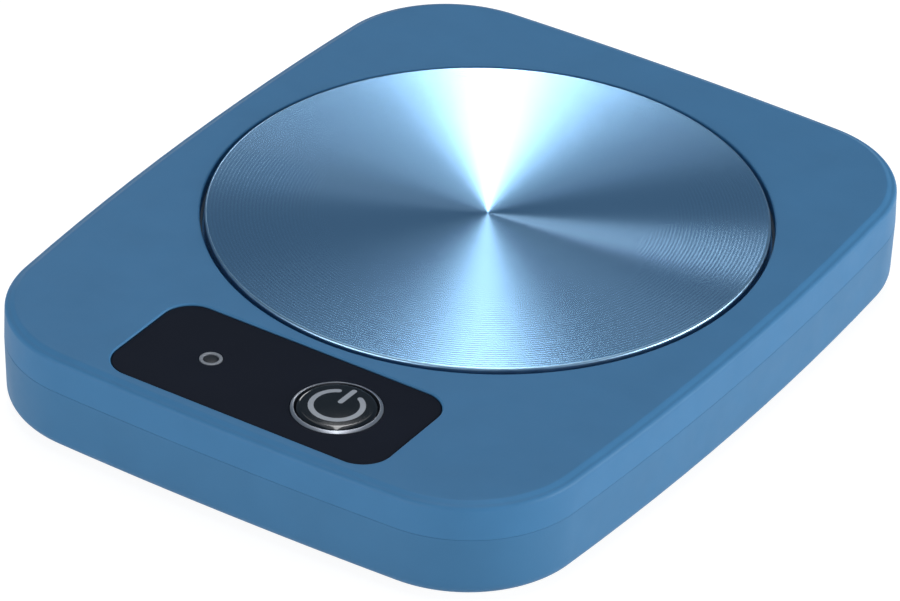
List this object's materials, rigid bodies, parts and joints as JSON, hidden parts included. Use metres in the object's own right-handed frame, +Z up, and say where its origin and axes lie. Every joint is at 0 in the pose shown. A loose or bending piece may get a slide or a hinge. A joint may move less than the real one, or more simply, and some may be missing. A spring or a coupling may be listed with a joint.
{
  "type": "mug warmer",
  "caption": "Flat electric mug warmer with a round turned metal heating plate, a control panel with a push button and an indicator, and a low-voltage inlet at the back.",
  "frame": {"origin": "under the middle of the case, level with the underside of the feet", "axes": "+Z up, +X to the right along the control panel, -Y towards the user, who faces the control panel"},
  "size_m": [0.114, 0.1404, 0.0202],
  "materials": {
    "upper_shell": "fine satin texture",
    "lower_shell": "fine satin texture",
    "spun_aluminium": "turned in fine rings, clear coated",
    "silicone": "matt",
    "mica": "flaky sheet",
    "heater_foil": "etched foil",
    "insulation": "felted mineral fibre",
    "zinc_steel": "zinc plated",
    "sensor_cap": "plain",
    "fuse_body": "plain",
    "wire_white": "silicone insulation",
    "wire_supply": "silicone insulation, one red and one black",
    "panel_black": "satin gloss",
    "tape": "double sided adhesive sheet",
    "mark_grey": "light grey",
    "cap_black": "gloss",
    "smoked_lens": "smoked acrylic",
    "clear_acrylic": "clear acrylic",
    "board_green": "solder mask on glass fibre laminate",
    "led_body": "clear resin",
    "switch_black": "moulded",
    "plunger_grey": "moulded",
    "snap_metal": "spring temper",
    "chip_black": "moulded epoxy",
    "capacitor_can": "plain can",
    "ferrite": "shielded coil",
    "chip_ceramic": "plain",
    "connector_cream": "moulded nylon",
    "inlet_black": "moulded",
    "contact_nickel": "nickel plated",
    "foot_rubber": "matt"
  },
  "bodies": {
    "case": {"top_cover": "upper_shell", "bottom_cover": "lower_shell", "heating_plate": "spun_aluminium", "plate_seal": "silicone", "upper_mica": "mica", "heater_track": "heater_foil", "lower_mica": "mica", "insulation_pad": "insulation", "retaining_plate": "zinc_steel", "retaining_screws": "zinc_steel", "temperature_sensor": "sensor_cap", "sensor_clip": "zinc_steel", "thermal_fuse": "fuse_body", "fuse_bracket": "zinc_steel", "heater_lead": "wire_white", "fuse_lead_in": "wire_white", "fuse_lead_out": "wire_white", "sensor_leads": "wire_white", "panel": "panel_black", "panel_tape": "tape", "button_ring": "mark_grey", "indicator_ring": "mark_grey", "indicator_lens": "smoked_lens", "light_guide": "clear_acrylic", "circuit_board": "board_green", "board_screws": "zinc_steel", "indicator_led": "led_body", "switch_housing": "switch_black", "switch_cover": "zinc_steel", "switch_dome": "snap_metal", "microcontroller": "chip_black", "power_transistor": "chip_black", "voltage_regulator": "chip_black", "inductor": "ferrite", "smoothing_capacitor": "capacitor_can", "chip_resistors": "chip_black", "chip_capacitors": "chip_ceramic", "heater_header": "connector_cream", "sensor_header": "connector_cream", "supply_header": "connector_cream", "heater_plug": "connector_cream", "sensor_plug": "connector_cream", "supply_plug": "connector_cream", "supply_leads": "wire_supply", "inlet_housing": "inlet_black", "inlet_pin": "contact_nickel", "inlet_contacts": "contact_nickel", "inlet_strap": "zinc_steel", "strap_screws": "zinc_steel", "case_screws": "zinc_steel", "foot_front_left": "foot_rubber", "foot_front_right": "foot_rubber", "foot_back_left": "foot_rubber", "foot_back_right": "foot_rubber"},
    "button": {"power_button": "cap_black", "power_symbol": "mark_grey"},
    "plunger": {"switch_plunger": "plunger_grey"}
  },
  "joints": [
    {"name": "button_press", "type": "slide", "parent": "case", "child": "button", "axis": [0, 0, -1], "range_m": [0, 0.00035], "stiffness_N_per_m": 2000, "springref_m": -0.0003},
    {"name": "switch_press", "type": "slide", "parent": "case", "child": "plunger", "axis": [0, 0, -1], "range_m": [0, 0.00035], "deforming": ["switch_dome"]}
  ],
  "couplings": [
    {"joint": "switch_press", "follows": "button_press", "ratio": 1}
  ]
}
